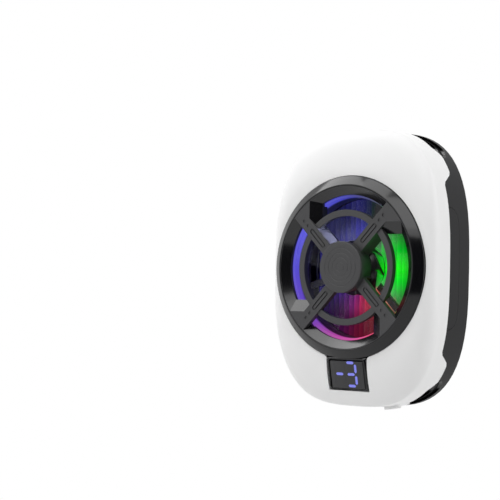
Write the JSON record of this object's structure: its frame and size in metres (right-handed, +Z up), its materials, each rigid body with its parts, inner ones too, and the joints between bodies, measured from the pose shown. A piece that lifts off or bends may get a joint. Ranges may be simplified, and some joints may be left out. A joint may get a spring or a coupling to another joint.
{
  "type": "phone cooling fan",
  "caption": "Magnetic phone cooler with a rounded white shell, a spoked fan guard, a small temperature display, a heat sink and a thermoelectric cold plate.",
  "frame": {"origin": "centre of the thermal pad's outer face, which lies on the phone", "axes": "+Y out of the phone side, so the fan blows in from -Y; +Z up the body, with the display at the low end; +X to the right as seen from the front"},
  "size_m": [0.0602, 0.0246, 0.0827],
  "materials": {
    "shell_white": "satin",
    "housing_black": "fine matte texture",
    "bezel_black": "semi-gloss",
    "guard_grey": "fine matte texture",
    "display_glass": "smoked and clear",
    "segment_glow": "lit, pale blue",
    "segment_dark": "unlit",
    "inner_black": "matte",
    "board_green": "solder mask",
    "board_white": "solder mask",
    "contact_gold": "plated",
    "switch_steel": "plain",
    "socket_steel": "drawn",
    "light_guide": "frosted and lit",
    "led_lens": "clear resin",
    "core_steel": "plain",
    "copper_wire": "enamelled",
    "bearing_bronze": "sintered",
    "shaft_steel": "ground",
    "blade_clear": "clear, faintly smoked",
    "magnet_black": "bonded ferrite",
    "sink_aluminium": "as cut",
    "module_ceramic": "bare alumina",
    "module_legs": "bare",
    "lead_red": "silicone insulation",
    "foam_grey": "closed-cell foam",
    "pad_grey": "soft silicone",
    "magnet_nickel": "nickel plated",
    "grip_rubber": "soft silicone",
    "screw_steel": "plated"
  },
  "bodies": {
    "body": {"front_shell": "shell_white", "fan_bezel": "bezel_black", "fan_grille": "guard_grey", "hub_cap": "guard_grey", "display_window": "display_glass", "segments_lit": "segment_glow", "segments_off": "segment_dark", "display_block": "inner_black", "display_board": "board_green", "display_pins": "contact_gold", "tact_switch": "switch_steel", "main_board": "board_green", "board_chips": "inner_black", "usb_socket": "socket_steel", "usb_tongue": "inner_black", "light_ring": "light_guide", "led_board": "board_white", "leds": "led_lens", "fan_frame": "inner_black", "motor_board": "board_green", "stator_core": "core_steel", "stator_coils": "copper_wire", "bearing_sleeve": "bearing_bronze", "heat_sink": "sink_aluminium", "peltier_hot_plate": "module_ceramic", "peltier_legs": "module_legs", "peltier_cold_plate": "module_ceramic", "peltier_leads": "lead_red", "insulation_ring": "foam_grey", "temperature_sensor": "inner_black", "cold_plate": "sink_aluminium", "thermal_pad": "pad_grey", "rear_housing": "housing_black", "side_clips": "housing_black", "magnets": "magnet_nickel", "magnet_yoke": "core_steel", "grip_ring": "grip_rubber", "case_screws": "screw_steel", "sink_screws": "screw_steel", "fan_screws": "screw_steel", "board_screws": "screw_steel"},
    "fan": {"fan_rotor": "blade_clear", "rotor_magnet": "magnet_black", "fan_shaft": "shaft_steel", "shaft_clip": "shaft_steel"},
    "button": {"mode_button": "shell_white", "switch_plunger": "inner_black"}
  },
  "joints": [
    {"name": "fan_spin", "type": "hinge", "parent": "body", "child": "fan", "pos_m": [0, 0, 0], "axis": [0, 1, 0], "continuous": true},
    {"name": "button_press", "type": "slide", "parent": "body", "child": "button", "axis": [0, 0, 1], "range_m": [0, 0.0005], "stiffness_N_per_m": 1500}
  ]
}
